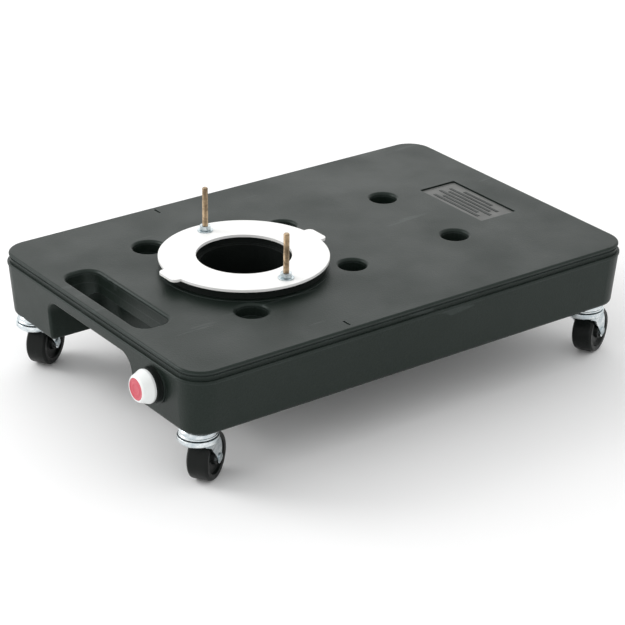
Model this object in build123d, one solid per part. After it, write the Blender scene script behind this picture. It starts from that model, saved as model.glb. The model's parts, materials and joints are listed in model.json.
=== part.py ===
from build123d import *
import os

# Portable toilet base: a low, hollow holding tank on four swivel casters.
# Millimetres. +Z is up and z = 0 is the floor. X runs along the length, with the hand
# slot at the -X end and the blank name plate at the +X end. y = 0 is the middle of the tank.

# ---- driving dimensions: tank ----
TANK_LENGTH = 565.0
TANK_WIDTH = 371.0
TANK_HEIGHT = 71.5
DECK_Z = 139.0
CORNER_RADIUS = 28.0
SKIN = 4.0
TANK_X = 3.5            # the drain cap reaches further out than the far wheels do

LID_EDGE = 2.6          # thickness of the lid's outer edge
EDGE_ROUND = 2.2
GROOVE_DEPTH = 2.0      # shadow groove under the lid's edge
GROOVE_HEIGHT = 3.2
LID_SETBACK = 1.0       # the lid below its groove stands this far inside its edge
SEAM_DROP = 10.0        # from the deck down to the weld line
BEAD_OUT = 1.8          # weld bead on the pan
BEAD_HEIGHT = 3.0
WALL_TOP_OUT = 1.0
WALL_FOOT_IN = 4.0      # the pan's walls lean in by this much
FOOT_ROUND = 5.0

# ---- hand slot and the arch below it ----
SLOT_SIZE = (39.0, 155.0)
SLOT_FROM_END = 34.5
SLOT_Y = 6.5
SLOT_RADIUS = 15.5
SLOT_LEDGE = 14.0       # depth at which lid and pan meet inside the slot
GRIP_THICK = 24.0
ARCH_WIDTH = 158.0
ARCH_DEPTH = 80.0
ARCH_ROUND = 16.0

# ---- moulded details of the deck ----
WELLS = [               # distance from the handle end, distance from the middle
    (283.0, 63.0, 15.0, 64.5),
    (422.0, 63.0, 15.0, 64.5),
    (131.0, 96.0, 17.0, 13.0),
]
WELL_SLOPE = 0.09       # how much a well narrows per millimetre of depth
WELL_SKIN = 3.0
LIP_ROUND = 3.5         # rounded lips of the wells and of the hand slot
ARCH_LIP = 3.0          # rounded edge where the arch opens in the end wall
PLATE_SIZE = (49.5, 108.0)
PLATE_FROM_END = 495.5
PLATE_Y = 3.7
PLATE_THICK = 0.8
PLATE_RECESS = 2.4
PLATE_MARGIN = 1.2      # between the plate and the sides of its recess
PLATE_ROUND = 1.5
MARK_WIDTH = 2.6        # moulded centre marks at the long edges
MARK_DEPTH = 1.2
MARK_LENGTH = 11.0
MARK_FROM_END = 192.0
MARK_FROM_SIDE = 12.5

# ---- closet flange ----
FLANGE_FROM_END = 188.0
FLANGE_RADIUS = 90.0    # 7 inch closet flange
FLANGE_BORE = 50.5
FLANGE_THICK = 3.0
FLANGE_TOP = 13.0       # above the deck
EAR_REACH = 8.0
EAR_WIDTH = 30.0
EAR_ROUND = 6.0
EAR_ROOT = 8.0          # how far the ears run back into the flange
PAD_RADIUS = 91.0
PAD_HEIGHT = 0.6
SEAL_THICK = 0.8
COLLAR_RADIUS = 87.0
COLLAR_BORE = 51.5
NECK_BORE = 47.0
NECK_OUTER = 51.5
NECK_PLAY = 0.3         # round the neck, in the deck's hole
THREAD_GAP = 0.05
NECK_LEDGE = 3.0        # above the deck
NECK_LENGTH = 30.0      # below the deck
GASKET_THICK = 0.6
LOCK_RING = (63.0, 8.0)
LOCK_LUG = (7.0, 12.0)
LOCK_LUG_COUNT = 6
BOLT_OFFSET = 1.0       # the bolts stand this far beyond the flange's middle
BOLT_SPACING = 148.0
BOLT_RADIUS = 3.175     # quarter inch closet bolts
BOLT_IN_NUT = 3.05      # mean thread radius, up to the top of the nut
BOLT_TIP = 49.5         # above the flange
BOLT_HEAD = (9.0, 20.0, 3.0)
BOLT_PLAY = 0.2         # round the bolts, in every hole that they pass
WASHER = (8.5, 1.2)
NUT_ACROSS = 11.1
NUT_HEIGHT = 5.0

# ---- drain ----
DRAIN_Y = -117.5
DRAIN_DROP = 35.0       # below the deck
DRAIN_BOSS = (20.5, 1.0)
DRAIN_WALL = 8.0        # the boss is flat on its inner side too
DRAIN_SEAL = 1.0
DRAIN_SHOULDER = (18.4, 5.0)
DRAIN_TUBE = 13.0
DRAIN_BORE = 10.5
DRAIN_END = 17.0        # how far the neck reaches past the tank's end
DRAIN_NUT = (20.0, 7.0)
CAP_BACK = 7.4
CAP_FRONT = 21.3
CAP_SKIRT = 3.0         # the straight part of the cap, at its back
CAP_WIDE = 17.7
CAP_NARROW = 13.2
CAP_BORE = 13.3
CAP_FLOOR = 18.6
CAP_DISC = (11.4, 0.6)
CAP_GASKET = 1.2
CAP_GAP = 0.2

# ---- casters ----
CASTERS = {             # swivel axis from the tank's middle, and where the wheel trails to
    "handle_left": (-1, 1, 32.0),
    "handle_right": (-1, -1, 33.0),
    "far_left": (1, 1, 27.0),
    "far_right": (1, -1, 24.0),
}
CASTER_INSET_HANDLE = 25.0
CASTER_INSET_FAR = 31.5
CASTER_INSET_SIDE = 29.0
WHEEL_RADIUS = 25.4     # two inch wheel
WHEEL_WIDTH = 23.0
WHEEL_BORE = 5.06
HUB_WIDTH = 24.4
HUB_RADIUS = 8.5
DISH_RADIUS = 19.0
DISH_DEPTH = 3.5
TREAD_ROUND = 2.0
TRAIL = 20.0
STEM_RADIUS = 4.76      # three eighths inch stem
STEM_UP = 18.0
STEM_HEAD = (7.5, 2.5)
RACE_RADIUS = 20.0
RACE_FOOT = 7.6
BALL_RADIUS = 2.2
BALL_CIRCLE = 14.0
BALL_DROP = 9.5
BALL_COUNT = 14
CROWN_RADIUS = 21.0
CROWN_TOP = 8.7
CROWN_TRACK = 11.4
CROWN_FOOT = 16.0
CROWN_SHEET = 2.0
CROWN_TUCK = 2.6        # how far the crown draws in at its foot
RUNNING_GAP = 0.06
LEG_INNER = 12.6
LEG_SHEET = 2.0
LEG_FORE = 14.5         # the leg's reach along the crown, fore and aft of the swivel axis
LEG_AFT = 16.0
LEG_WAIST = 1.0         # where the leg's fore edge turns down
LEG_TIP = 4.8
LEG_TIP_DROP = 2.2      # the tip's centre is this far below the axle
AXLE_RADIUS = 3.0
AXLE_HEAD = (4.6, 1.4)
AXLE_NUT = (8.0, 3.0)
SLEEVE_RADIUS = 5.0
INSERT_RADIUS = 8.0
INSERT_HEIGHT = 19.0
BOSS_RADIUS = 15.0
BOSS_HEIGHT = 24.0

# ---- derived places ----
END_X = TANK_X - TANK_LENGTH / 2
FLOOR_Z = DECK_Z - TANK_HEIGHT
FLANGE_X = END_X + FLANGE_FROM_END
FLANGE_Z = DECK_Z + FLANGE_TOP
SEAM_Z = DECK_Z - SEAM_DROP
AXLE_DROP = FLOOR_Z - WHEEL_RADIUS


def slab(grow, z_low, z_high):
    """The tank's rounded outline, grown by a margin, between two heights."""
    outline = RectangleRounded(TANK_LENGTH + 2 * grow, TANK_WIDTH + 2 * grow, CORNER_RADIUS + grow)
    return extrude(Pos(TANK_X, 0, z_low) * outline, amount=z_high - z_low)


def taper(grow_high, grow_low, z_high, z_low):
    """The tank's rounded outline, drawn in from one height to a lower one."""
    faces = []
    for grow, z in ((grow_high, z_high), (grow_low, z_low)):
        outline = RectangleRounded(
            TANK_LENGTH + 2 * grow, TANK_WIDTH + 2 * grow, CORNER_RADIUS + grow
        )
        faces.append(Pos(TANK_X, 0, z) * outline)
    return loft(faces)


def disc(radius, z_low, z_high, x=0.0, y=0.0):
    """An upright cylinder between two heights."""
    return extrude(Pos(x, y, z_low) * Circle(radius), amount=z_high - z_low)


def ring(outer, inner, z_low, z_high, x=0.0, y=0.0):
    """An upright ring between two heights."""
    return disc(outer, z_low, z_high, x, y) - disc(inner, z_low - 1, z_high + 1, x, y)


def turned(points):
    """A solid turned about the Z axis from an outline of (radius, height) points."""
    outline = make_face(Polyline(*[(r, 0, z) for r, z in points], close=True))
    return revolve(outline, axis=Axis.Z)


def hexagon(across, z_low, z_high, bore, x=0.0, y=0.0):
    """A hexagonal nut with a round bore."""
    outline = RegularPolygon(across / 2, 6, major_radius=False)
    body = extrude(Pos(x, y, z_low) * outline, z_high - z_low)
    return body - disc(bore, z_low - 1, z_high + 1, x, y)


# ---- tank ----
def well_places():
    """Every kiss-off well as x, y, radius and depth."""
    return [
        (END_X + along, side * across, radius, depth)
        for along, across, radius, depth in WELLS
        for side in (-1, 1)
    ]


def well(x, y, radius, depth, grow):
    """A tapered well sunk from the deck, or with a margin the solid around it."""
    foot_radius = radius - WELL_SLOPE * depth
    cone = Cone(
        foot_radius + grow, radius + grow, depth + grow, align=(Align.CENTER, Align.CENTER, Align.MAX)
    )
    return Pos(x, y, DECK_Z) * cone


def slot_prism(grow, z_low, z_high):
    """The hand slot's outline, grown by a margin, between two heights."""
    outline = RectangleRounded(
        SLOT_SIZE[0] + 2 * grow, SLOT_SIZE[1] + 2 * grow, SLOT_RADIUS + grow
    )
    return extrude(Pos(END_X + SLOT_FROM_END, SLOT_Y, z_low) * outline, amount=z_high - z_low)


def arch_block(grow):
    """The open arch below the grip, grown by a margin."""
    low_z = FLOOR_Z - 20
    high_z = DECK_Z - GRIP_THICK + grow
    block = Pos(END_X - 20, SLOT_Y, low_z) * Box(
        ARCH_DEPTH + 20 + grow,
        ARCH_WIDTH + 2 * grow,
        high_z - low_z,
        align=(Align.MIN, Align.CENTER, Align.MIN),
    )
    back_edges = block.edges().filter_by(Axis.Z).group_by(Axis.X)[-1]
    block = fillet(back_edges, ARCH_ROUND)
    roof_edges = block.faces().sort_by(Axis.Z)[-1].edges().filter_by(Axis.X)
    return fillet(roof_edges, ARCH_ROUND)


def caster_places():
    """Each caster's name, swivel axis and heading."""
    inset = {-1: CASTER_INSET_HANDLE, 1: CASTER_INSET_FAR}
    places = {}
    for name, (end, side, heading) in CASTERS.items():
        x = TANK_X + end * (TANK_LENGTH / 2 - inset[end])
        y = side * (TANK_WIDTH / 2 - CASTER_INSET_SIDE)
        places[name] = (x, y, heading)
    return places


def tank_cavity():
    """The liquid space inside the tank, less all that stands in it."""
    space = taper(WALL_TOP_OUT - SKIN - 1, -WALL_FOOT_IN - SKIN, DECK_Z - SKIN, FLOOR_Z + SKIN)
    space -= arch_block(SKIN)
    space -= slot_prism(SKIN, FLOOR_Z, DECK_Z)
    for place in well_places():
        space -= well(*place, WELL_SKIN)
    for x, y, _ in caster_places().values():
        space -= disc(BOSS_RADIUS, FLOOR_Z, FLOOR_Z + BOSS_HEIGHT, x, y)
    return space - along_drain(DRAIN_BOSS[0], 0, DRAIN_WALL)


def cup_blank(place):
    """One well's cup before it is hollowed, from the tank's floor to the deck's underside."""
    x, y, radius, _ = place
    return well(*place, WELL_SKIN) & disc(2 * radius, FLOOR_Z + SKIN, DECK_Z - SKIN, x, y)


def make_kiss_off_wells():
    """The cups of the six wells, which hang below the deck; the deep ones brace it on the floor."""
    return Compound(children=[cup_blank(place) - well(*place, 0) for place in well_places()])


def make_slot_throat():
    """The wall of the hand slot, from the deck's underside down to the pan."""
    bottom = DECK_Z - SLOT_LEDGE
    top = DECK_Z - SKIN
    return slot_prism(SKIN, bottom, top) - slot_prism(0, bottom - 1, top + 1)


def make_deck_shell():
    """Deck: rounded edge, the mouths of wells and hand slot, flange pad and plate recess."""
    groove_z = DECK_Z - LID_EDGE
    lid = slab(0, groove_z, DECK_Z)
    lid = fillet(lid.faces().sort_by(Axis.Z)[-1].edges(), EDGE_ROUND)
    lid += slab(-GROOVE_DEPTH, DECK_Z - SKIN, groove_z)
    lid -= slot_prism(0, FLOOR_Z, DECK_Z + 5)
    for place in well_places():
        lid -= well(*place, 0)
    deck = lid.faces().sort_by(Axis.Z)[-1]
    lips = [edge for wire in deck.inner_wires() for edge in wire.edges()]
    lid = fillet(lips, LIP_ROUND)
    lid += disc(PAD_RADIUS, DECK_Z, DECK_Z + PAD_HEIGHT, FLANGE_X)
    lid -= disc(NECK_OUTER + NECK_PLAY, DECK_Z - 20, DECK_Z + 5, FLANGE_X)
    for side in (-1, 1):
        mark = Box(MARK_WIDTH, MARK_LENGTH, 2 * MARK_DEPTH)
        lid -= Pos(END_X + MARK_FROM_END, side * (TANK_WIDTH / 2 - MARK_FROM_SIDE), DECK_Z) * mark
    recess = Box(*PLATE_SIZE, 2 * PLATE_RECESS)
    return lid - Pos(END_X + PLATE_FROM_END, PLATE_Y, DECK_Z) * recess


def make_deck_skirt():
    """The lid's side below the deck: the rest of the shadow groove and the band above the weld."""
    band_z = DECK_Z - LID_EDGE - GROOVE_HEIGHT
    skirt = slab(-GROOVE_DEPTH, band_z, DECK_Z - SKIN)
    skirt += slab(-LID_SETBACK, SEAM_Z, band_z)
    return skirt - slab(-GROOVE_DEPTH - SKIN, SEAM_Z - 1, DECK_Z)


def is_mouth(edge):
    """True for an edge where the arch opens in the end wall."""
    middle = edge.center()
    in_wall = END_X - 2 < middle.X < END_X + WALL_FOOT_IN
    beside = abs(middle.Y - SLOT_Y) < ARCH_WIDTH / 2 + 1
    below = FLOOR_Z + FOOT_ROUND < middle.Z < DECK_Z - GRIP_THICK + 1
    return in_wall and beside and below


def make_tank_pan():
    """Lower moulding: weld bead, leaning walls, arch, floor, caster bosses and drain boss."""
    bead = slab(BEAD_OUT, SEAM_Z - BEAD_HEIGHT, SEAM_Z)
    bead = fillet(bead.faces().sort_by(Axis.Z)[-1].edges(), 1.3)
    walls = taper(WALL_TOP_OUT, -WALL_FOOT_IN, SEAM_Z - BEAD_HEIGHT, FLOOR_Z)
    walls = fillet(walls.faces().sort_by(Axis.Z)[0].edges(), FOOT_ROUND)
    boss_radius, boss_out = DRAIN_BOSS
    pan = bead + walls + along_drain(boss_radius, -boss_out, DRAIN_WALL)
    pan -= arch_block(0)
    mouth = [edge for edge in pan.edges() if is_mouth(edge)]
    pan = fillet(mouth, ARCH_LIP)
    pan -= tank_cavity()
    pan -= slot_prism(0, FLOOR_Z, DECK_Z)
    pan -= slot_prism(SKIN, DECK_Z - SLOT_LEDGE, DECK_Z)
    for place in well_places():
        pan -= cup_blank(place)
    pan -= along_drain(DRAIN_TUBE + 0.3, -5, 2 * DRAIN_WALL)
    for x, y, _ in caster_places().values():
        pan -= disc(INSERT_RADIUS, FLOOR_Z - 1, FLOOR_Z + INSERT_HEIGHT, x, y)
    return pan


def make_label_plate():
    """Blank name plate, bonded into its recess at the far end."""
    length = PLATE_SIZE[0] - 2 * PLATE_MARGIN
    width = PLATE_SIZE[1] - 2 * PLATE_MARGIN
    outline = RectangleRounded(length, width, PLATE_ROUND)
    place = Pos(END_X + PLATE_FROM_END, PLATE_Y, DECK_Z - PLATE_RECESS)
    return extrude(place * outline, amount=PLATE_THICK)


# ---- closet flange ----
COLLAR_FOOT = DECK_Z + PAD_HEIGHT + SEAL_THICK
COLLAR_TOP = FLANGE_Z - FLANGE_THICK - GASKET_THICK


def bolt_places():
    """The two closet bolts, either side of the flange's bore."""
    return [(FLANGE_X + BOLT_OFFSET, side * BOLT_SPACING / 2) for side in (-1, 1)]


def make_flange_neck():
    """Black collar on the deck, with the threaded neck that drops into the tank."""
    body = disc(COLLAR_RADIUS, COLLAR_FOOT, COLLAR_TOP, FLANGE_X)
    body += disc(NECK_OUTER, DECK_Z - NECK_LENGTH, COLLAR_FOOT + 1, FLANGE_X)
    body -= disc(COLLAR_BORE, DECK_Z + NECK_LEDGE, COLLAR_TOP + 1, FLANGE_X)
    body -= disc(NECK_BORE, DECK_Z - NECK_LENGTH - 1, COLLAR_TOP, FLANGE_X)
    head_x, head_y, head_z = BOLT_HEAD
    for x, y in bolt_places():
        pocket = Box(
            head_x + 2 * BOLT_PLAY,
            head_y + 2 * BOLT_PLAY,
            head_z + 2 * BOLT_PLAY,
            align=(Align.CENTER, Align.CENTER, Align.MIN),
        )
        body -= Pos(x, y, COLLAR_FOOT) * pocket
        body -= disc(BOLT_RADIUS + BOLT_PLAY, COLLAR_FOOT, COLLAR_TOP + 1, x, y)
    return body


def make_neck_seal():
    """Flat rubber seal between collar and deck."""
    return ring(COLLAR_RADIUS - 2, NECK_OUTER + NECK_PLAY, DECK_Z + PAD_HEIGHT, COLLAR_FOOT, FLANGE_X)


def make_neck_lock_ring():
    """Ring nut on the neck, drawn up against the inside of the deck."""
    radius, height = LOCK_RING
    top = DECK_Z - SKIN
    nut = ring(radius, NECK_OUTER + THREAD_GAP, top - height, top, FLANGE_X)
    for lug in PolarLocations(radius, LOCK_LUG_COUNT):
        nut += Pos(FLANGE_X, 0, top - height / 2) * lug * Box(*LOCK_LUG, height)
    return nut


def make_flange_gasket():
    """Thin gasket between collar and flange."""
    gasket = ring(COLLAR_RADIUS - 1, COLLAR_BORE, COLLAR_TOP, COLLAR_TOP + GASKET_THICK, FLANGE_X)
    for x, y in bolt_places():
        gasket -= disc(BOLT_RADIUS + BOLT_PLAY, COLLAR_TOP - 1, FLANGE_Z, x, y)
    return gasket


def make_closet_flange():
    """White seven inch flange with an ear at each end of its X diameter."""
    z_low = FLANGE_Z - FLANGE_THICK
    plate = Pos(FLANGE_X, 0) * Circle(FLANGE_RADIUS)
    for side in (-1, 1):
        ear = RectangleRounded(2 * (EAR_REACH + EAR_ROOT), EAR_WIDTH, EAR_ROUND)
        plate += Pos(FLANGE_X + side * (FLANGE_RADIUS - EAR_ROOT), 0) * ear
    flange = extrude(Pos(0, 0, z_low) * plate, amount=FLANGE_THICK)
    flange = chamfer(flange.faces().sort_by(Axis.Z)[-1].edges(), 0.4)
    flange -= disc(FLANGE_BORE, z_low - 1, FLANGE_Z + 1, FLANGE_X)
    for x, y in bolt_places():
        flange -= disc(BOLT_RADIUS + BOLT_PLAY, z_low - 1, FLANGE_Z + 1, x, y)
    return flange


def make_closet_bolts():
    """Two brass bolts, their tee heads held under the collar."""
    head_x, head_y, head_z = BOLT_HEAD
    bolts = []
    nut_top = FLANGE_Z + WASHER[1] + NUT_HEIGHT
    for x, y in bolt_places():
        tip = disc(BOLT_RADIUS, nut_top, FLANGE_Z + BOLT_TIP, x, y)
        tip = chamfer(tip.edges().sort_by(Axis.Z)[-1], 0.8)
        shank = disc(BOLT_IN_NUT, COLLAR_FOOT, nut_top, x, y)
        head = Box(head_x, head_y, head_z, align=(Align.CENTER, Align.CENTER, Align.MIN))
        bolts.append(tip + shank + Pos(x, y, COLLAR_FOOT) * head)
    return Compound(children=bolts)


def make_closet_washers():
    """Plated washers, one on each closet bolt."""
    radius, thick = WASHER
    bore = BOLT_RADIUS + BOLT_PLAY
    rings = [ring(radius, bore, FLANGE_Z, FLANGE_Z + thick, x, y) for x, y in bolt_places()]
    return Compound(children=rings)


def make_closet_nuts():
    """Plated nuts that clamp the flange down."""
    z_low = FLANGE_Z + WASHER[1]
    z_high = z_low + NUT_HEIGHT
    bore = BOLT_IN_NUT + 0.02
    nuts = [hexagon(NUT_ACROSS, z_low, z_high, bore, x, y) for x, y in bolt_places()]
    return Compound(children=nuts)


# ---- drain ----
def along_drain(radius, start, end):
    """A cylinder on the drain's axis, between two distances inward from the tank's end."""
    place = Plane(origin=(END_X + start, DRAIN_Y, DECK_Z - DRAIN_DROP), z_dir=(1, 0, 0))
    return extrude(place * Circle(radius), amount=end - start)


def make_drain_neck():
    """Black bulkhead neck: shoulder outside, threaded tube through the wall."""
    radius, depth = DRAIN_SHOULDER
    back = -DRAIN_BOSS[1] - DRAIN_SEAL
    body = along_drain(radius, back - depth, back)
    inner_end = DRAIN_WALL + DRAIN_NUT[1] + 2
    body += along_drain(DRAIN_TUBE, -DRAIN_END, inner_end)
    return body - along_drain(DRAIN_BORE, -DRAIN_END - 1, inner_end + 1)


def make_drain_seal():
    """Rubber seal between the neck's shoulder and the tank."""
    front = -DRAIN_BOSS[1] - DRAIN_SEAL
    back = -DRAIN_BOSS[1]
    outer = along_drain(DRAIN_SHOULDER[0] - 0.5, front, back)
    return outer - along_drain(DRAIN_TUBE + 0.1, front - 1, back + 1)


def make_drain_lock_nut():
    """Hexagonal nut on the neck, inside the tank."""
    across, depth = DRAIN_NUT
    place = Plane(origin=(END_X + DRAIN_WALL, DRAIN_Y, DECK_Z - DRAIN_DROP), z_dir=(1, 0, 0))
    body = extrude(place * RegularPolygon(across, 6), amount=depth)
    return body - along_drain(DRAIN_TUBE + THREAD_GAP, DRAIN_WALL - 1, DRAIN_WALL + depth + 1)


def make_drain_cap():
    """White screw cap, narrower at its face, with a shallow seat for its disc."""
    disc_radius, disc_thick = CAP_DISC
    seat = disc_radius + 0.1
    outline = [
        (CAP_BORE, CAP_BACK),
        (CAP_WIDE, CAP_BACK),
        (CAP_WIDE, CAP_BACK + CAP_SKIRT),
        (CAP_NARROW + 0.9, CAP_FRONT - 1.4),
        (CAP_NARROW - 0.5, CAP_FRONT),
        (seat, CAP_FRONT),
        (seat, CAP_FRONT - disc_thick),
        (0, CAP_FRONT - disc_thick),
        (0, CAP_FLOOR),
        (CAP_BORE, CAP_FLOOR),
    ]
    return drain_place() * turned(outline)


def drain_place():
    """Turns a part drawn about Z so that its +Z points out of the drain."""
    return Location((END_X, DRAIN_Y, DECK_Z - DRAIN_DROP)) * Rot(0, -90, 0)


def make_cap_disc():
    """Coloured blank disc in the cap's face."""
    radius, thick = CAP_DISC
    return drain_place() * disc(radius, CAP_FRONT - thick, CAP_FRONT)


def make_cap_gasket():
    """Rubber disc that the cap presses on the end of the neck."""
    low = DRAIN_END + CAP_GAP
    return drain_place() * disc(CAP_BORE - 0.5, low, low + CAP_GASKET)


# ---- casters: drawn about the swivel axis, with z = 0 at the tank's underside ----
def make_stem():
    """Threaded stem, riveted under the fork's crown."""
    radius, thick = STEM_HEAD
    head_top = -CROWN_FOOT - 0.3
    body = disc(STEM_RADIUS, head_top - 1, STEM_UP)
    head = disc(radius, head_top - thick, head_top)
    return body + fillet(head.edges().sort_by(Axis.Z)[0], 1.2)


def ball_track(grow):
    """The ring of space that the balls run in."""
    return Pos(0, 0, -BALL_DROP) * Torus(BALL_CIRCLE, BALL_RADIUS + grow)


def make_upper_race():
    """Plated upper race, clamped under the tank."""
    bore = STEM_RADIUS + 0.05
    body = turned([
        (bore, 0), (RACE_RADIUS - 2.5, 0), (RACE_RADIUS, -2.5), (RACE_RADIUS, -RACE_FOOT + 0.8),
        (RACE_RADIUS - 0.8, -RACE_FOOT), (9, -RACE_FOOT), (9, -4), (bore, -4),
    ])
    return body - ball_track(0.1)


def make_balls():
    """Loose balls between the two races."""
    return Compound(children=[
        spot * Pos(0, 0, -BALL_DROP) * Sphere(BALL_RADIUS)
        for spot in PolarLocations(BALL_CIRCLE, BALL_COUNT)
    ])


def leg_outline():
    """Side view of a fork leg: wide at the crown, a round tip about the axle."""
    sides = Polyline(
        (-LEG_FORE, -CROWN_TRACK - 1),
        (LEG_AFT, -CROWN_TRACK - 1),
        (TRAIL + LEG_TIP, -AXLE_DROP - LEG_TIP_DROP),
        (TRAIL - LEG_TIP, -AXLE_DROP - LEG_TIP_DROP),
        (LEG_WAIST, -CROWN_FOOT - 9),
        (-LEG_FORE, -CROWN_FOOT + 1),
        close=True,
    )
    return make_face(sides) + Pos(TRAIL, -AXLE_DROP - LEG_TIP_DROP) * Circle(LEG_TIP)


def make_fork():
    """Pressed fork: a bowl-shaped crown that holds the lower race, and two legs."""
    bore = STEM_RADIUS + RUNNING_GAP
    inner = CROWN_RADIUS - CROWN_SHEET
    crown = turned([
        (bore, -CROWN_FOOT), (CROWN_RADIUS - CROWN_TUCK, -CROWN_FOOT),
        (CROWN_RADIUS, -CROWN_FOOT + CROWN_TUCK),
        (CROWN_RADIUS, -CROWN_TOP - 0.5), (CROWN_RADIUS - 0.5, -CROWN_TOP), (inner, -CROWN_TOP),
        (inner, -CROWN_TRACK), (10, -CROWN_TRACK), (10, -CROWN_FOOT + CROWN_SHEET),
        (bore, -CROWN_FOOT + CROWN_SHEET),
    ])
    fork = crown - ball_track(0.1)
    for side in (-1, 1):
        leg_y = side * (LEG_INNER + LEG_SHEET / 2)
        sheet = Plane(origin=(0, leg_y, 0), x_dir=(1, 0, 0), z_dir=(0, -1, 0))
        fork += extrude(sheet * leg_outline(), amount=LEG_SHEET / 2, both=True)
    fork -= across_axle(AXLE_RADIUS + 0.03, -30, 30)
    return fork


def across_axle(radius, y_low, y_high):
    """A cylinder on the wheel's axis."""
    place = Plane(origin=(TRAIL, y_low, -AXLE_DROP), z_dir=(0, 1, 0))
    return extrude(place * Circle(radius), amount=y_high - y_low)


def make_axle():
    """Axle bolt with a round head."""
    radius, thick = AXLE_HEAD
    face = LEG_INNER + LEG_SHEET
    body = across_axle(AXLE_RADIUS, -face - thick, face + AXLE_NUT[1] + 0.8)
    head = across_axle(radius, -face - thick, -face)
    return body + fillet(head.edges().sort_by(Axis.Y)[0], 0.9)


def make_axle_nut():
    """Hexagonal nut on the axle bolt."""
    across, thick = AXLE_NUT
    face = LEG_INNER + LEG_SHEET
    place = Plane(origin=(TRAIL, face, -AXLE_DROP), z_dir=(0, 1, 0))
    body = extrude(place * RegularPolygon(across / 2, 6, major_radius=False), amount=thick)
    return body - across_axle(AXLE_RADIUS + 0.03, face - 1, face + thick + 1)


def make_sleeve():
    """Steel spacer sleeve that the wheel turns on."""
    reach = LEG_INNER - 0.05
    return across_axle(SLEEVE_RADIUS, -reach, reach) - across_axle(AXLE_RADIUS + 0.03, -20, 20)


def make_wheel():
    """Black wheel with rounded tread edges, dished sides and a raised hub."""
    half = WHEEL_WIDTH / 2
    hub_half = HUB_WIDTH / 2
    dish = half - DISH_DEPTH
    rim = [
        (WHEEL_BORE, -hub_half), (HUB_RADIUS - 1, -hub_half),
        (HUB_RADIUS, -dish), (DISH_RADIUS - 1, -dish),
        (DISH_RADIUS, -half), (WHEEL_RADIUS - TREAD_ROUND, -half),
    ]
    far = [(r, -y) for r, y in reversed(rim)]
    blank = turned(rim + [(WHEEL_RADIUS, -half), (WHEEL_RADIUS, half)] + far)
    tread_edges = blank.edges().filter_by(GeomType.CIRCLE).sort_by(SortBy.RADIUS)[-2:]
    wheel = fillet(tread_edges, TREAD_ROUND)
    return Pos(TRAIL, 0, -AXLE_DROP) * Rot(90, 0, 0) * wheel


def make_caster_inserts():
    """Threaded inserts moulded into the tank's four caster bosses."""
    sleeves = []
    for x, y, _ in caster_places().values():
        sleeve = ring(INSERT_RADIUS, STEM_RADIUS + 0.03, FLOOR_Z, FLOOR_Z + INSERT_HEIGHT, x, y)
        sleeves.append(sleeve)
    return Compound(children=sleeves)


CASTER_PIECES = {
    "stem": make_stem,
    "upper_race": make_upper_race,
    "balls": make_balls,
    "fork": make_fork,
    "axle_bolt": make_axle,
    "axle_nut": make_axle_nut,
    "axle_sleeve": make_sleeve,
    "wheel": make_wheel,
}

FIXED_PIECES = {
    "deck_shell": make_deck_shell,
    "deck_skirt": make_deck_skirt,
    "tank_pan": make_tank_pan,
    "kiss_off_wells": make_kiss_off_wells,
    "slot_throat": make_slot_throat,
    "label_plate": make_label_plate,
    "caster_inserts": make_caster_inserts,
    "flange_neck": make_flange_neck,
    "neck_seal": make_neck_seal,
    "neck_lock_ring": make_neck_lock_ring,
    "flange_gasket": make_flange_gasket,
    "closet_flange": make_closet_flange,
    "closet_bolts": make_closet_bolts,
    "closet_washers": make_closet_washers,
    "closet_nuts": make_closet_nuts,
    "drain_neck": make_drain_neck,
    "drain_seal": make_drain_seal,
    "drain_lock_nut": make_drain_lock_nut,
    "drain_cap": make_drain_cap,
    "cap_disc": make_cap_disc,
    "cap_gasket": make_cap_gasket,
}

os.makedirs("parts", exist_ok=True)
for node, make in FIXED_PIECES.items():
    export_step(make(), f"parts/{node}.step")
for caster, (x, y, heading) in caster_places().items():
    place = Location((x, y, FLOOR_Z)) * Rot(0, 0, heading)
    for piece, make in CASTER_PIECES.items():
        export_step(place * make(), f"parts/{caster}_{piece}.step")
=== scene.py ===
# %% [markdown]
# # A portable toilet base on casters
# This lesson builds the looks of a low black holding tank that rolls on four swivel casters. It has a
# white closet flange on its deck, two brass bolts, a hand slot at one end and a white drain cap. The
# shapes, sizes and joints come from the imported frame, so most places below are read from it, and the
# pieces that need finer surfaces than the frame has are made again here in the same places.

# %% Load the frame
import json
import math

import bmesh
import bpy
from mathutils import Matrix, Vector


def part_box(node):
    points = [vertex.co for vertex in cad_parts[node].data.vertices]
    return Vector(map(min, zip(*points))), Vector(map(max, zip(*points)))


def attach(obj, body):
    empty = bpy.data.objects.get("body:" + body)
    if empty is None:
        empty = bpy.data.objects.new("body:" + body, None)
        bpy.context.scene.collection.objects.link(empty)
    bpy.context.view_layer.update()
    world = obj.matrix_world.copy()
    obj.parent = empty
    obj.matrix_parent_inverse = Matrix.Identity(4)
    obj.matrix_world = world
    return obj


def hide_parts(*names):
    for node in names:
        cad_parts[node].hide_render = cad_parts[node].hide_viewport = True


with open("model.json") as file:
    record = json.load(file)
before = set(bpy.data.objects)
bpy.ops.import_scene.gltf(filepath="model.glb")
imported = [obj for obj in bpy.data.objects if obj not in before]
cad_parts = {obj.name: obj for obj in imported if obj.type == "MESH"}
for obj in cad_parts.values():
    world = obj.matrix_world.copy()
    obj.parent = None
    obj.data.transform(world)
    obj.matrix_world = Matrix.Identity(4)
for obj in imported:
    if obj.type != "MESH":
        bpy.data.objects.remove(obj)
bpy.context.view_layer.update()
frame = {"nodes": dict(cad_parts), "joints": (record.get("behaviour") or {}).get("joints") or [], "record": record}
record = frame["record"]
joints = {joint["name"]: joint for joint in frame["joints"]}
mounts = {mount["name"]: mount for mount in record["mounts"]}
MM = 0.001

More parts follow.
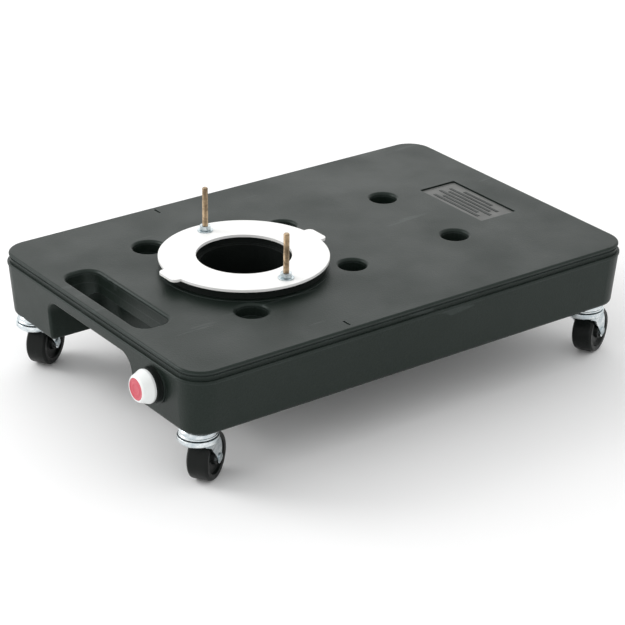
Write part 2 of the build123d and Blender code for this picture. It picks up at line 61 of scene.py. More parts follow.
# %% [markdown]
# ## Camera
# A catalogue picture of a low object is taken from a little above, with a long lens so that the edges
# stay nearly parallel. The camera is placed by the point that it looks at, a heading, an elevation and a
# distance, which is easier to adjust than raw coordinates.

# %% Camera
AIM = Vector((-0.0134, -0.0175, 0.070))
CAMERA_HEADING = 36.76
CAMERA_ELEVATION = 25.37
CAMERA_ROLL = 0.94
CAMERA_DISTANCE = 2.447
LENS = 131.3


def place_camera():
    heading = math.radians(CAMERA_HEADING)
    lift = math.radians(CAMERA_ELEVATION)
    back = Vector((
        -math.sin(heading) * math.cos(lift),
        -math.cos(heading) * math.cos(lift),
        math.sin(lift),
    ))
    camera_data = bpy.data.cameras.new("studio_camera")
    camera_data.lens = LENS
    camera = bpy.data.objects.new("studio_camera", camera_data)
    bpy.context.collection.objects.link(camera)
    turn = (-back).to_track_quat("-Z", "Y").to_matrix()
    turn = turn @ Matrix.Rotation(math.radians(CAMERA_ROLL), 3, "Z")
    camera.matrix_world = Matrix.Translation(AIM + back * CAMERA_DISTANCE) @ turn.to_4x4()
    bpy.context.scene.camera = camera
    return camera


camera = place_camera()
print("camera at", [round(v, 3) for v in camera.location])

# %% [markdown]
# ## Studio
# The object is black and satin, so what shows is mostly what it reflects. A white room gives the deck its
# pale sheen, because the deck is seen at a shallow angle. A large soft box at the handle end makes that
# end wall lighter than the long side wall. The standard view transform keeps the paper white.

# %% Room, floor and lights
ROOM_STRENGTH = 1.0
PAPER = 0.93


def make_floor():
    sheet = bmesh.new()
    bmesh.ops.create_grid(sheet, x_segments=8, y_segments=8, size=7)
    mesh = bpy.data.meshes.new("studio_floor")
    sheet.to_mesh(mesh)
    sheet.free()
    floor = bpy.data.objects.new("studio_floor", mesh)
    bpy.context.collection.objects.link(floor)
    paper = bpy.data.materials.new("studio_paper")
    paper.use_nodes = True
    shader = paper.node_tree.nodes["Principled BSDF"]
    shader.inputs["Base Color"].default_value = (PAPER, PAPER, PAPER, 1)
    shader.inputs["Roughness"].default_value = 0.9
    shader.inputs["Specular IOR Level"].default_value = 0.1
    mesh.materials.append(paper)


def make_room():
    room = bpy.data.worlds.new("studio_room")
    room.use_nodes = True
    backdrop = room.node_tree.nodes["Background"]
    backdrop.inputs["Color"].default_value = (1, 1, 1, 1)
    backdrop.inputs["Strength"].default_value = ROOM_STRENGTH
    bpy.context.scene.world = room


def make_softbox(name, place, size, power):
    light = bpy.data.lights.new(name, "AREA")
    light.shape = "RECTANGLE"
    light.size, light.size_y = size
    light.energy = power
    softbox = bpy.data.objects.new(name, light)
    softbox.location = place
    aim = Vector((0, 0, 0.1)) - Vector(place)
    softbox.rotation_euler = aim.to_track_quat("-Z", "Y").to_euler()
    bpy.context.collection.objects.link(softbox)


make_floor()
make_room()
make_softbox("key_softbox", (-1.6, 1.5, 1.4), (1.2, 1.2), 26)
make_softbox("back_softbox", (1.3, 2.3, 1.3), (2.4, 1.2), 7)
bpy.context.scene.view_settings.view_transform = "Standard"

# %% [markdown]
# ## Tools for materials
# Each finish is a small graph of nodes. These helpers add a node, vary a value over the surface with
# noise, mix two colours and find the edges that hands and shoes rub, which on the black plastic also get a
# painted highlight. Noise runs in object space, so it sits still on the real surface and a grain size
# can be given in cycles per metre.

# %% Material helpers
def add(tree, kind, inputs=None, **settings):
    made = tree.nodes.new(kind)
    for key, value in settings.items():
        setattr(made, key, value)
    for key, value in (inputs or {}).items():
        if isinstance(value, bpy.types.NodeSocket):
            tree.links.new(value, made.inputs[key])
        else:
            made.inputs[key].default_value = value
    return made


def surface_noise(tree, scale, detail, low, high, stretch=(1, 1, 1)):
    """Noise over the surface, spread between two values."""
    place = add(tree, "ShaderNodeTexCoord").outputs["Object"]
    drawn = add(tree, "ShaderNodeMapping", {"Vector": place, "Scale": stretch}).outputs["Vector"]
    noise = add(tree, "ShaderNodeTexNoise", {"Vector": drawn, "Scale": scale, "Detail": detail})
    spread = add(tree, "ShaderNodeMapRange", {
        "Value": noise.outputs["Fac"], "From Min": 0.3, "From Max": 0.7, "To Min": low, "To Max": high,
    })
    return spread.outputs["Result"]


def mix_colours(tree, amount, first, second):
    mixer = add(tree, "ShaderNodeMix", data_type="RGBA")
    for index, value in ((0, amount), (6, first), (7, second)):
        if isinstance(value, bpy.types.NodeSocket):
            tree.links.new(value, mixer.inputs[index])
        else:
            mixer.inputs[index].default_value = value
    return mixer.outputs[2]


def multiply(tree, first, second):
    return add(tree, "ShaderNodeMath", {0: first, 1: second}, operation="MULTIPLY").outputs[0]


# Sharp edges: rubbed wear, and on the black plastic a painted highlight as well.
def edge_wear_and_highlight_mask(tree, radius, strength):
    """One where an edge turns sharply, zero on flat surfaces."""
    soft = add(tree, "ShaderNodeBevel", {"Radius": radius}, samples=4).outputs["Normal"]
    true = add(tree, "ShaderNodeNewGeometry").outputs["Normal"]
    likeness = add(tree, "ShaderNodeVectorMath", {0: soft, 1: true}, operation="DOT_PRODUCT")
    spread = add(tree, "ShaderNodeMapRange", {
        "Value": likeness.outputs["Value"],
        "From Min": 0.995, "From Max": 0.86, "To Min": 0.0, "To Max": strength,
    })
    return spread.outputs["Result"]


def start_material(name, **sockets):
    """A material with its principled shader, and the sockets that stay the same all over set."""
    material = bpy.data.materials.new(name)
    material.use_nodes = True
    tree = material.node_tree
    shader = tree.nodes["Principled BSDF"]
    for key, value in sockets.items():
        shader.inputs[key.replace("_", " ")].default_value = value
    return material, tree, shader


def bump(tree, shader, height, distance, strength=1.0):
    relief = add(tree, "ShaderNodeBump", {"Height": height, "Distance": distance, "Strength": strength})
    tree.links.new(relief.outputs["Normal"], shader.inputs["Normal"])
    return relief


print("helpers ready")

# %% [markdown]
# ## Black moulded plastic
# The tank is moulded from polyethylene. Its surface has a fine grain from the mould, faint cloudy
# patches where the skin cooled at different speeds, and paler edges that are partly rubbed wear and
# partly a painted highlight. Scuffs run mostly along the length, because that is the way things slide on and off.

# %% Tank and neck plastic
def moulded_plastic(name, dark, pale, wear_and_edge_highlight, grain, rough, scuffs):
    material, tree, shader = start_material(
        name, Specular_IOR_Level=0.26, Specular_Tint=(0.88, 1.0, 0.96, 1)
    )
    clouds = surface_noise(tree, 7, 4, 0.0, 1.0)
    colour = mix_colours(tree, clouds, dark, pale)
    speck = surface_noise(tree, grain, 3, 0.0, 0.06)
    colour = mix_colours(tree, speck, colour, wear_and_edge_highlight)
    streaks = surface_noise(tree, 30, 6, -2.4, scuffs, stretch=(0.35, 3.0, 3.0))
    colour = mix_colours(tree, streaks, colour, wear_and_edge_highlight)
    # Sharp edges turn toward the pale colour, partly as rubbed wear and partly as a painted highlight.
    patchy = multiply(tree, edge_wear_and_highlight_mask(tree, 1.6 * MM, 0.42), surface_noise(tree, 45, 4, 0.35, 1.0))
    colour = mix_colours(tree, patchy, colour, wear_and_edge_highlight)
    tree.links.new(colour, shader.inputs["Base Color"])
    sheen = surface_noise(tree, 13, 6, rough - 0.06, rough + 0.07)
    tree.links.new(sheen, shader.inputs["Roughness"])
    coarse = surface_noise(tree, grain, 2, 0.0, 1.0)
    bump(tree, shader, coarse, 0.12 * MM, 0.55)
    return material


finishes = {
    "tank_plastic": moulded_plastic(
        "tank_plastic", (0.0030, 0.0072, 0.0046, 1), (0.0072, 0.0114, 0.0088, 1),
        (0.095, 0.110, 0.108, 1), 620, 0.42, 0.16,
    ),
    "neck_plastic": moulded_plastic(
        "neck_plastic", (0.003, 0.0042, 0.0036, 1), (0.006, 0.0072, 0.0066, 1),
        (0.04, 0.045, 0.043, 1), 800, 0.42, 0.03,
    ),
}
print("finishes", list(finishes))

# %% [markdown]
# ## White plastic and red insert
# The flange and the cap are injection moulded, so they are smoother than the tank. Very faint clouding
# and a soft gloss keep them from looking like paper. The red insert has a slightly bleached middle.

# %% White and red plastic
def smooth_plastic(name, main, aged, rough, fine):
    material, tree, shader = start_material(name, Specular_IOR_Level=0.45)
    clouds = surface_noise(tree, 14, 5, 0.0, 1.0)
    colour = mix_colours(tree, clouds, main, aged)
    patchy = multiply(tree, edge_wear_and_highlight_mask(tree, 0.8 * MM, 0.35), surface_noise(tree, 90, 4, 0.2, 1.0))
    colour = mix_colours(tree, patchy, colour, aged)
    tree.links.new(colour, shader.inputs["Base Color"])
    tree.links.new(surface_noise(tree, 60, 5, rough - 0.06, rough + 0.1), shader.inputs["Roughness"])
    bump(tree, shader, surface_noise(tree, fine, 3, 0.0, 1.0), 0.04 * MM, 0.4)
    return material


finishes["flange_white"] = smooth_plastic(
    "flange_white", (0.90, 0.90, 0.89, 1), (0.80, 0.80, 0.78, 1), 0.34, 420
)
finishes["cap_white"] = smooth_plastic(
    "cap_white", (0.86, 0.88, 0.87, 1), (0.74, 0.77, 0.76, 1), 0.32, 500
)
finishes["cap_red"] = smooth_plastic(
    "cap_red", (0.50, 0.035, 0.065, 1), (0.62, 0.16, 0.19, 1), 0.45, 520
)
finishes["label"] = smooth_plastic(
    "label", (0.085, 0.088, 0.084, 1), (0.125, 0.128, 0.122, 1), 0.5, 900
)
print("finishes", list(finishes))

# %% [markdown]
# ## Metals
# Three metals show. The closet bolts are brass that has gone dull and brown in the roots of the thread.
# The nuts, washers and axles are zinc plated, with a cloudy bluish sheen. The forks and races are bright
# plated, and are smoother, but still show the grain of the pressed sheet. Their colour is streaked with
# darker grey, a painted reflection of dark surroundings.

# %% Metals
def plated_metal(name, bright, tarnish_and_dark_reflection, rough, spread, grain, stretch=(1, 1, 1)):
    material, tree, shader = start_material(name, Metallic=1.0)
    # On the caster steel these clouds, stretched along Z, are a painted reflection: darker grey streaks for dark
    # surroundings. On brass and zinc they are tone and tarnish.
    clouds = surface_noise(tree, 95, 6, -0.3, 1.1, stretch)
    colour = mix_colours(tree, clouds, bright, tarnish_and_dark_reflection)
    stains = surface_noise(tree, 260, 4, -0.6, 0.8)
    colour = mix_colours(tree, stains, colour, tarnish_and_dark_reflection)
    tree.links.new(colour, shader.inputs["Base Color"])
    tree.links.new(surface_noise(tree, 160, 5, rough, rough + spread), shader.inputs["Roughness"])
    bump(tree, shader, surface_noise(tree, grain, 3, 0.0, 1.0, stretch), 0.05 * MM, 0.45)
    return material


finishes["bolt_brass"] = plated_metal(
    "bolt_brass", (0.50, 0.38, 0.25, 1), (0.17, 0.125, 0.08, 1), 0.32, 0.2, 1400
)
finishes["fastener_steel"] = plated_metal(
    "fastener_steel", (0.62, 0.68, 0.70, 1), (0.30, 0.35, 0.37, 1), 0.22, 0.2, 1200
)
# The dull grey and its streaks on the caster steel are a painted dark reflection.
finishes["caster_steel"] = plated_metal(
    "caster_steel", (0.84, 0.88, 0.89, 1), (0.50, 0.57, 0.60, 1), 0.12, 0.16, 900, (1, 1, 1.8)
)
print("finishes", list(finishes))

# %% [markdown]
# ## Rubber and wheels
# The seals are matt. The wheels are a hard black plastic with a slight shine, and pick up dust and fine
# scratches on the tread.

# %% Rubber
def black_rubber(name, main, dusty, rough, dust):
    material, tree, shader = start_material(name, Specular_IOR_Level=0.2)
    settled = surface_noise(tree, 55, 6, -0.9, dust)
    colour = mix_colours(tree, settled, main, dusty)
    patchy = multiply(tree, edge_wear_and_highlight_mask(tree, 0.8 * MM, 0.2), surface_noise(tree, 140, 4, 0.1, 1.0))
    colour = mix_colours(tree, patchy, colour, dusty)
    tree.links.new(colour, shader.inputs["Base Color"])
    tree.links.new(surface_noise(tree, 130, 6, rough - 0.08, rough + 0.14), shader.inputs["Roughness"])
    bump(tree, shader, surface_noise(tree, 1100, 3, 0.0, 1.0), 0.06 * MM, 0.5)
    return material


finishes["seal_rubber"] = black_rubber(
    "seal_rubber", (0.012, 0.012, 0.012, 1), (0.04, 0.04, 0.04, 1), 0.7, 0.4
)
finishes["wheel_black"] = black_rubber(
    "wheel_black", (0.003, 0.0044, 0.0037, 1), (0.022, 0.027, 0.024, 1), 0.34, 0.05
)
for part in record["subparts"]:
    solid = frame["nodes"][part["node"]]
    solid.data.materials.clear()
    solid.data.materials.append(finishes[part["material_slot"]])
print("finished nodes", len(record["subparts"]))

# %% [markdown]
# ## Tools for shapes
# Most small parts here are turned or pressed, so a lathe does the larger part of the work. An outline is
# a list of corners, each with its own radius, because real edges are never sharp and a soft edge is what
# catches the light.

# %% Shape helpers
def soften(corners, steps=5):
    """Rounds the corners of a closed outline given as (across, up, radius) in millimetres."""
    points = []
    for index, (across, up, radius) in enumerate(corners):
        corner = Vector((across, up))
        if radius == 0:
            points.append(corner)
            continue
        before = Vector(corners[index - 1][:2]) - corner
        after = Vector(corners[(index + 1) % len(corners)][:2]) - corner
        reach = radius / math.tan(before.angle(after) / 2)
        reach = min(reach, 0.49 * before.length, 0.49 * after.length)
        start = corner + before.normalized() * reach
        end = corner + after.normalized() * reach
        for step in range(steps + 1):
            t = step / steps
            points.append((1 - t) ** 2 * start + 2 * t * (1 - t) * corner + t ** 2 * end)
    return points


def lathe(shape, corners, place, segments=72, steps=5):
    """Turns a closed outline about the Z axis of a place."""
    points = soften(corners, steps)
    rows = []
    for k in range(segments):
        turn = place @ Matrix.Rotation(2 * math.pi * k / segments, 4, "Z")
        rows.append([shape.verts.new(turn @ Vector((p.x * MM, 0, p.y * MM))) for p in points])
    for row, following in zip(rows, rows[1:] + rows[:1]):
        for i in range(len(points)):
            j = (i + 1) % len(points)
            shape.faces.new((row[i], following[i], following[j], row[j]))


def publish(shape, name, body, slot, *stands_for):
    """Makes an object of a shape, ties it to its body, gives it its finish and hides the nodes it replaces."""
    bmesh.ops.remove_doubles(shape, verts=shape.verts, dist=1e-6)
    bmesh.ops.recalc_face_normals(shape, faces=shape.faces)
    mesh = bpy.data.meshes.new(name)
    shape.to_mesh(mesh)
    shape.free()
    mesh.shade_smooth()
    mesh.set_sharp_from_angle(angle=math.radians(38))
    mesh.materials.append(finishes[slot])
    piece = bpy.data.objects.new(name, mesh)
    bpy.context.collection.objects.link(piece)
    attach(piece, body)
    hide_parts(*stands_for)
    return piece


print("shape tools ready")

# %% [markdown]
# ## Closet bolts
# A closet bolt is a quarter inch brass bolt with a flat tee head, which slides into a slot and can't
# turn. Its thread is rolled, twenty turns to the inch. The thread is drawn as a real helix: the radius
# falls and rises as the height and the angle change together.

# %% Closet bolts
bolts_low, bolts_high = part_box("closet_bolts")
stud_mount = mounts["closet_studs"]
half_spacing = stud_mount["dims"]["spacing_y_mm"] / 2 * MM
bolt_places = [Vector((stud_mount["pos_m"][0], side * half_spacing, 0)) for side in (-1, 1)]
FLANGE_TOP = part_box("closet_flange")[1].z
THREAD_RADIUS = 3.175 * MM
THREAD_DEPTH = 0.62 * MM
THREAD_PITCH = 1.27 * MM
TIP_CHAMFER = 0.9 * MM
TURN_STEPS = 36
ROWS_PER_PITCH = 6


def threaded_rod(shape, centre, z_low, z_high):
    rows = []
    row_count = round((z_high - z_low) / THREAD_PITCH * ROWS_PER_PITCH)
    for row in range(row_count + 1):
        z = z_low + (z_high - z_low) * row / row_count
        limit = THREAD_RADIUS - max(0, TIP_CHAMFER - (z_high - z))
        verts = []
        for k in range(TURN_STEPS):
            angle = 2 * math.pi * k / TURN_STEPS
            phase = ((z - z_low) / THREAD_PITCH - k / TURN_STEPS) % 1
            crest = min(1.0, 1.25 * abs(2 * phase - 1))
            radius = min(limit, THREAD_RADIUS - THREAD_DEPTH * (1 - crest))
            spot = Vector((radius * math.cos(angle), radius * math.sin(angle), z))
            verts.append(shape.verts.new(centre + spot))
        rows.append(verts)
    for lower, upper in zip(rows, rows[1:]):
        for k in range(TURN_STEPS):
            j = (k + 1) % TURN_STEPS
            shape.faces.new((lower[k], lower[j], upper[j], upper[k]))
    shape.faces.new(rows[0][::-1])
    shape.faces.new(rows[-1])


def tee_head(shape, centre, z_low, size):
    corners = bmesh.ops.create_cube(shape, size=1)["verts"]
    for vert in corners:
        x, y, z = vert.co
        vert.co = centre + Vector((x * size[0], y * size[1], z_low + (z + 0.5) * size[2]))
    edges = list({edge for vert in corners for edge in vert.link_edges})
    bmesh.ops.bevel(shape, geom=edges, offset=0.5 * MM, segments=2, affect="EDGES")


bolt_shape = bmesh.new()
for centre in bolt_places:
    threaded_rod(bolt_shape, centre, bolts_low.z + 1 * MM, bolts_high.z)
    tee_head(bolt_shape, centre, bolts_low.z, (9 * MM, 20 * MM, 3 * MM))
publish(bolt_shape, "threaded_closet_bolts", "tank", "bolt_brass", "closet_bolts")
print("bolts reach", round(bolts_high.z, 4))

# %% [markdown]
# ## Nuts and washers
# A nut is cut from hexagonal bar and turned at both ends, so its corners are cut back in a cone. That
# leaves a curved edge on every flat. The same shape serves for the closet nuts and the axle nuts.

# %% Nuts and washers
NUT_STEPS = 96


def hex_radius(angle, across):
    sixth = math.pi / 3
    return across / 2 / math.cos((angle + sixth / 2) % sixth - sixth / 2)


def hex_nut(shape, place, across, height, bore):
    """A chamfered nut standing on the origin of a place, up its Z axis."""
    chamfer = across * 0.075
    levels = [(0.0, 0.0), (0.15, 0.25), (0.5, 0.6), (1.0, 1.0)]
    outer = [(chamfer * t * 0.6, across / 2 * 0.97 + chamfer * f) for t, f in levels]
    profile = outer + [(height - z, radius) for z, radius in reversed(outer)]
    rings = []
    for z, limit in profile:
        rings.append([
            (min(limit, hex_radius(2 * math.pi * k / NUT_STEPS, across)), z) for k in range(NUT_STEPS)
        ])
    rings.append([(bore + 0.5 * MM, height)] * NUT_STEPS)
    rings.append([(bore, height - 0.5 * MM)] * NUT_STEPS)
    rings.append([(bore, 0.5 * MM)] * NUT_STEPS)
    rings.append([(bore + 0.5 * MM, 0.0)] * NUT_STEPS)
    rows = []
    for entries in rings:
        row = []
        for k, (radius, z) in enumerate(entries):
            angle = 2 * math.pi * k / NUT_STEPS
            spot = Vector((radius * math.cos(angle), radius * math.sin(angle), z))
            row.append(shape.verts.new(place @ spot))
        rows.append(row)
    for lower, upper in zip(rows, rows[1:] + rows[:1]):
        for k in range(NUT_STEPS):
            j = (k + 1) % NUT_STEPS
            shape.faces.new((lower[k], lower[j], upper[j], upper[k]))


WASHER_THICK = 1.2
NUT_ACROSS = 11.1
NUT_HEIGHT = 5
NUT_BORE = 2.65
nut_shape = bmesh.new()
washer_shape = bmesh.new()
for turn, centre in enumerate(bolt_places):
    seat = Matrix.Translation(centre + Vector((0, 0, FLANGE_TOP)))
    lathe(washer_shape, [
        (3.4, 0, 0.2), (8.5, 0, 0.3), (8.5, WASHER_THICK, 0.5), (3.4, WASHER_THICK, 0.3),
    ], seat)
    spin = Matrix.Rotation(math.radians(14 + 19 * turn), 4, "Z")
    stand = seat @ Matrix.Translation((0, 0, WASHER_THICK * MM)) @ spin
    hex_nut(nut_shape, stand, NUT_ACROSS * MM, NUT_HEIGHT * MM, NUT_BORE * MM)
publish(washer_shape, "plated_washers", "tank", "fastener_steel", "closet_washers")
publish(nut_shape, "chamfered_closet_nuts", "tank", "fastener_steel", "closet_nuts")
print("nuts on", len(bolt_places), "bolts")

# %% [markdown]
# ## Drain cap
# The cap is a blow-moulded looking cup: a short straight skirt, a wall that draws in towards the face,
# and soft corners throughout. Its red insert is plain, with one raised ring, so that it carries no mark.

# %% Drain cap
cap_low, cap_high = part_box("drain_cap")
disc_low, disc_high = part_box("cap_disc")
cap_axis = Matrix.Translation((cap_high.x, (cap_low.y + cap_high.y) / 2, (cap_low.z + cap_high.z) / 2))
cap_axis = cap_axis @ Matrix.Rotation(math.radians(-90), 4, "Y")
cap_deep = (cap_high.x - cap_low.x) / MM
cap_wide = (cap_high.y - cap_low.y) / 2 / MM
disc_wide = (disc_high.y - disc_low.y) / 2 / MM
CAP_BORE = 13.3
CAP_HOLLOW = 11.2
DISC_RECESS = 0.7

cap_shape = bmesh.new()
lathe(cap_shape, [
    (CAP_BORE, 0.0, 0.4), (cap_wide - 0.4, 0.0, 0.9), (cap_wide, 2.9, 1.8),
    (disc_wide + 2.6, cap_deep - 1.6, 2.0), (disc_wide + 1.1, cap_deep, 0.9),
    (disc_wide + 0.15, cap_deep, 0.25), (disc_wide + 0.15, cap_deep - DISC_RECESS, 0),
    (0, cap_deep - DISC_RECESS, 0), (0, CAP_HOLLOW, 0), (CAP_BORE, CAP_HOLLOW, 0.8),
], cap_axis, 96)
publish(cap_shape, "soft_drain_cap", "cap", "cap_white", "drain_cap")

insert_shape = bmesh.new()
face = cap_deep - 0.12
lathe(insert_shape, [
    (0, cap_deep - DISC_RECESS, 0), (disc_wide, cap_deep - DISC_RECESS, 0), (disc_wide, face - 0.05, 0.25),
    (disc_wide - 1.3, face - 0.05, 0.2), (disc_wide - 1.6, face - 0.35, 0.2), (7.6, face - 0.35, 0.2),
    (7.2, face, 0.2), (5.2, face, 0.2), (4.8, face - 0.35, 0.2), (0, face - 0.35, 0),
], cap_axis, 96, 3)
publish(insert_shape, "red_cap_insert", "cap", "cap_red", "cap_disc")
print("cap", round(cap_deep, 1), "mm deep,", round(2 * cap_wide, 1), "mm wide")

# %% [markdown]
# ## Name plate
# The plate lies in a recess and carries a frame and a few plain ribs. Ribs of uneven length give the
# plate the look of a filled one without any lettering.

# %% Name plate
plate_low, plate_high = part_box("label_plate")
RIB_LENGTHS = (0.50, 0.86, 0.74, 0.92, 0.62, 0.80)


def soft_block(shape, low, high, soft):
    verts = bmesh.ops.create_cube(shape, size=1)["verts"]
    for vert in verts:
        vert.co = Vector([a + (b - a) * (c + 0.5) for a, b, c in zip(low, high, vert.co)])
    edges = list({edge for vert in verts for edge in vert.link_edges})
    bmesh.ops.bevel(shape, geom=edges, offset=soft, segments=2, affect="EDGES")


def make_plate():
    shape = bmesh.new()
    base_top = plate_high.z - 0.25 * MM
    soft_block(shape, plate_low, (plate_high.x, plate_high.y, base_top), 0.15 * MM)
    rim = 1.6 * MM
    edges = (
        ((plate_low.x, plate_low.y), (plate_low.x + rim, plate_high.y)),
        ((plate_high.x - rim, plate_low.y), (plate_high.x, plate_high.y)),
        ((plate_low.x, plate_low.y), (plate_high.x, plate_low.y + rim)),
        ((plate_low.x, plate_high.y - rim), (plate_high.x, plate_high.y)),
    )
    for (x0, y0), (x1, y1) in edges:
        soft_block(shape, (x0, y0, base_top - 0.1 * MM), (x1, y1, plate_high.z), 0.1 * MM)
    return shape


def make_ribs():
    shape = bmesh.new()
    length = plate_high.y - plate_low.y - 10 * MM
    middle = (plate_low.y + plate_high.y) / 2
    room = plate_high.x - plate_low.x - 9 * MM
    step = room / len(RIB_LENGTHS)
    for index, share in enumerate(RIB_LENGTHS):
        x = plate_high.x - 4.5 * MM - step * (index + 0.5)
        half = length * share / 2
        low = (x - 0.3 * step, middle - half, plate_high.z - 0.4 * MM)
        soft_block(shape, low, (x + 0.3 * step, middle + half, plate_high.z + 0.15 * MM), 0.2 * MM)
    return shape


publish(make_plate(), "framed_plate", "tank", "label", "label_plate")
publish(make_ribs(), "plate_ribs", "tank", "neck_plastic")
print("ribs", len(RIB_LENGTHS))

# %% [markdown]
# ## Casters
# Each caster is drawn about its swivel axis. The place of the caster, and the way that its wheel trails,
# come from its two joints, so one description serves all four.

# %% Where the casters stand
CORNERS = ("handle_left", "handle_right", "far_left", "far_right")
tank_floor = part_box("tank_pan")[0].z


def caster_place(corner):
    """The swivel axis at the tank's underside, with X along the way that the wheel trails."""
    pivot = Vector(joints[f"{corner}_swivel_turn"]["pos_m"])
    axle = Vector(joints[f"{corner}_wheel_spin"]["pos_m"])
    ahead = Vector((axle.x - pivot.x, axle.y - pivot.y, 0)).normalized()
    across = Vector((-ahead.y, ahead.x, 0))
    turn = Matrix((ahead, across, Vector((0, 0, 1)))).transposed()
    return Matrix.Translation((pivot.x, pivot.y, tank_floor)) @ turn.to_4x4()


first_axle = Vector(joints["far_left_wheel_spin"]["pos_m"])
first_pivot = Vector(joints["far_left_swivel_turn"]["pos_m"])
TRAIL = (first_axle.xy - first_pivot.xy).length / MM
AXLE_DROP = (tank_floor - first_axle.z) / MM
print("trail", round(TRAIL, 1), "axle below the tank", round(AXLE_DROP, 1))

# %% [markdown]
# ## Forks
# A fork is pressed from sheet. A round crown holds the lower race, and the two legs run down from it: they
# follow the round of the crown at the top and lie flat beside the wheel at the axle. The leg is a grid
# between a front and a back edge, bent from a circle to a plane, and then given the sheet's thickness.

# %% Forks
CROWN_RADIUS = 21.0
CROWN_TOP = -8.7
CROWN_FOOT = -16.0
CROWN_TUCK = 2.6
SHEET = 2.0
LEG_MIDDLE = 13.6
LEG_TIP = 4.8
TIP_REACH = 7.0
FORE_TOP = 14.0
FORE_SWEEP = 4.0
SWEEP_HEIGHT = 5.0
AFT_TOP = 15.5
AFT_BELLY = 1.6
FORE_BEND = 1.25
AFT_BEND = 2.6
WAIST_HALF = 12.6
FLATTEN_OVER = 15
LEG_PROUD = 0.12
LEG_START = -12.4
LEG_ROWS = 22
TIP_ROWS = 7
LEG_COLUMNS = 12


def smooth(t):
    t = min(max(t, 0.0), 1.0)
    return t * t * (3 - 2 * t)


def leg_rows():
    """Each row of the leg as its two ends along the trail and its height."""
    rows = []
    for index in range(LEG_ROWS + 1):
        t = index / LEG_ROWS
        z = LEG_START + (-AXLE_DROP - LEG_START) * t
        sweep = FORE_SWEEP * max(0.0, 1 - abs(z - CROWN_FOOT) / SWEEP_HEIGHT) ** 2
        fore = -FORE_TOP + (TRAIL - LEG_TIP + FORE_TOP) * (1 - (1 - t) ** FORE_BEND) - sweep
        belly = AFT_BELLY * math.sin(math.pi * t)
        aft = AFT_TOP + (TRAIL + LEG_TIP - AFT_TOP) * (1 - (1 - t) ** AFT_BEND) + belly
        rows.append((fore, aft, z))
    for index in range(1, TIP_ROWS + 1):
        angle = math.radians(84) * index / TIP_ROWS
        half = LEG_TIP * math.cos(angle)
        rows.append((TRAIL - half, TRAIL + half, -AXLE_DROP - TIP_REACH * math.sin(angle)))
    return rows


def leg_depth(x, z, lift):
    """How far the sheet stands from the middle, from the round crown to the flat foot."""
    tuck = CROWN_TUCK * smooth((CROWN_FOOT + CROWN_TUCK - z) / CROWN_TUCK)
    radius = CROWN_RADIUS - tuck - SHEET / 2 + LEG_PROUD + lift
    round_y = math.sqrt(max(radius ** 2 - x ** 2, (WAIST_HALF + lift) ** 2))
    flat_y = LEG_MIDDLE + lift
    flatten = smooth((CROWN_FOOT + 2 - z) / FLATTEN_OVER)
    return round_y + (flat_y - round_y) * flatten


def fork_leg(shape, place, side):
    faces = []
    for lift in (-SHEET / 2, SHEET / 2):
        rows = []
        for fore, aft, z in leg_rows():
            row = []
            for k in range(LEG_COLUMNS + 1):
                x = fore + (aft - fore) * k / LEG_COLUMNS
                spot = Vector((x, side * leg_depth(x, z, lift), z)) * MM
                row.append(shape.verts.new(place @ spot))
            rows.append(row)
        faces.append(rows)
    inner, outer = faces
    for rows in faces:
        for row, following in zip(rows, rows[1:]):
            for k in range(LEG_COLUMNS):
                shape.faces.new((row[k], row[k + 1], following[k + 1], following[k]))
    rim_inner = inner[0] + [r[-1] for r in inner[1:]] + inner[-1][-2::-1] + [r[0] for r in inner[-2:0:-1]]
    rim_outer = outer[0] + [r[-1] for r in outer[1:]] + outer[-1][-2::-1] + [r[0] for r in outer[-2:0:-1]]
    count = len(rim_inner)
    for k in range(count):
        j = (k + 1) % count
        shape.faces.new((rim_inner[k], rim_inner[j], rim_outer[j], rim_outer[k]))


def make_fork(corner):
    place = caster_place(corner)
    shape = bmesh.new()
    lathe(shape, [
        (4.85, CROWN_FOOT, 0.2), (CROWN_RADIUS - CROWN_TUCK, CROWN_FOOT, 2.0),
        (CROWN_RADIUS, CROWN_FOOT + CROWN_TUCK, 2.2), (CROWN_RADIUS, CROWN_TOP, 0.7),
        (CROWN_RADIUS - SHEET, CROWN_TOP, 0.5), (CROWN_RADIUS - SHEET, -11.6, 0.4),
        (10, -11.6, 0.8), (10, CROWN_FOOT + SHEET, 0.6), (4.85, CROWN_FOOT + SHEET, 0.2),
    ], place, 96)
    for side in (-1, 1):
        fork_leg(shape, place, side)
    fork = publish(shape, f"{corner}_pressed_fork", f"{corner}_swivel", "caster_steel", f"{corner}_fork")
    rounding = fork.modifiers.new("soft_sheet_edges", "BEVEL")
    rounding.width = 0.5 * MM
    rounding.segments = 2
    rounding.limit_method = "ANGLE"
    rounding.angle_limit = math.radians(50)
    return fork


for corner in CORNERS:
    make_fork(corner)
print("forks", len(CORNERS))

# %% [markdown]
# ## Upper races
# The upper race is a turned and plated cup, clamped under the tank by the stem. It has a soft shoulder at
# the top and a rolled lip at the bottom.

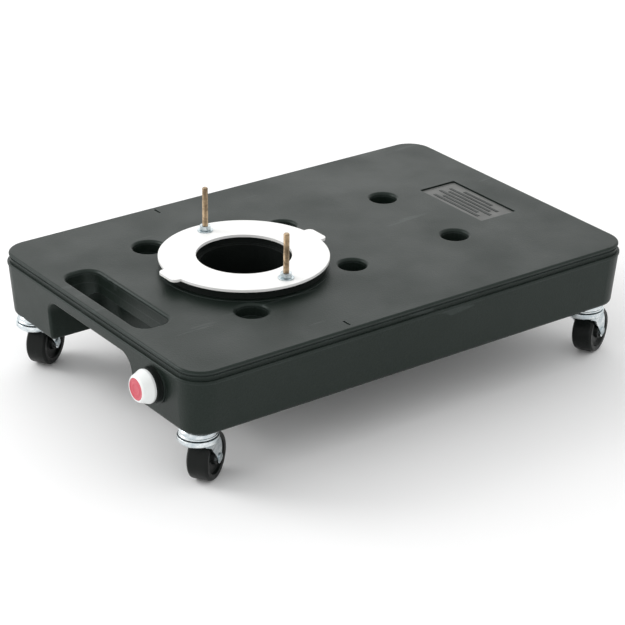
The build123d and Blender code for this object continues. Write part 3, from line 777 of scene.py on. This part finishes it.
# %% Upper races
RACE_RADIUS = 20.0
for corner in CORNERS:
    race_shape = bmesh.new()
    lathe(race_shape, [
        (4.9, 0, 0.2), (RACE_RADIUS - 2.8, 0, 1.2), (RACE_RADIUS - 0.9, -2.6, 1.6),
        (RACE_RADIUS - 0.9, -5.4, 0.8), (RACE_RADIUS, -6.0, 0.5), (RACE_RADIUS, -7.6, 0.6),
        (9, -7.6, 0.6), (9, -4, 0.5), (4.9, -4, 0.2),
    ], caster_place(corner), 96)
    publish(race_shape, f"{corner}_rolled_race", "tank", "caster_steel", f"{corner}_upper_race")
print("race width", 2 * RACE_RADIUS)

# %% [markdown]
# ## Wheels
# The wheels are moulded in one hard piece: a nearly flat tread with a faint mould line, a soft shoulder, a
# rim that stands out, a dished side and a hub around the sleeve.

# %% Wheels
WHEEL_RADIUS = 25.4
WHEEL_HALF = 11.5
HUB_HALF = 12.2


def wheel_side():
    """One side of the wheel's outline, from the bore out to the tread."""
    return [
        (5.08, HUB_HALF, 0.3), (8.3, HUB_HALF, 0.7), (8.9, 8.4, 0.8), (17.6, 8.0, 1.2),
        (18.8, WHEEL_HALF - 0.4, 0.6), (WHEEL_RADIUS - 2.2, WHEEL_HALF, 0.9),
        (WHEEL_RADIUS, WHEEL_HALF - 2.1, 1.8),
    ]


for corner in CORNERS:
    near = wheel_side()
    mould_line = [
        (WHEEL_RADIUS, 0.5, 0.2), (WHEEL_RADIUS - 0.06, 0.25, 0),
        (WHEEL_RADIUS - 0.06, -0.25, 0), (WHEEL_RADIUS, -0.5, 0.2),
    ]
    far = [(radius, -across, soft) for radius, across, soft in reversed(near)]
    axle = Matrix.Translation((TRAIL * MM, 0, -AXLE_DROP * MM)) @ Matrix.Rotation(math.radians(-90), 4, "X")
    wheel_shape = bmesh.new()
    lathe(wheel_shape, near + mould_line + far, caster_place(corner) @ axle, 96)
    publish(wheel_shape, f"{corner}_moulded_wheel", f"{corner}_roller", "wheel_black", f"{corner}_wheel")
print("wheels", len(CORNERS))
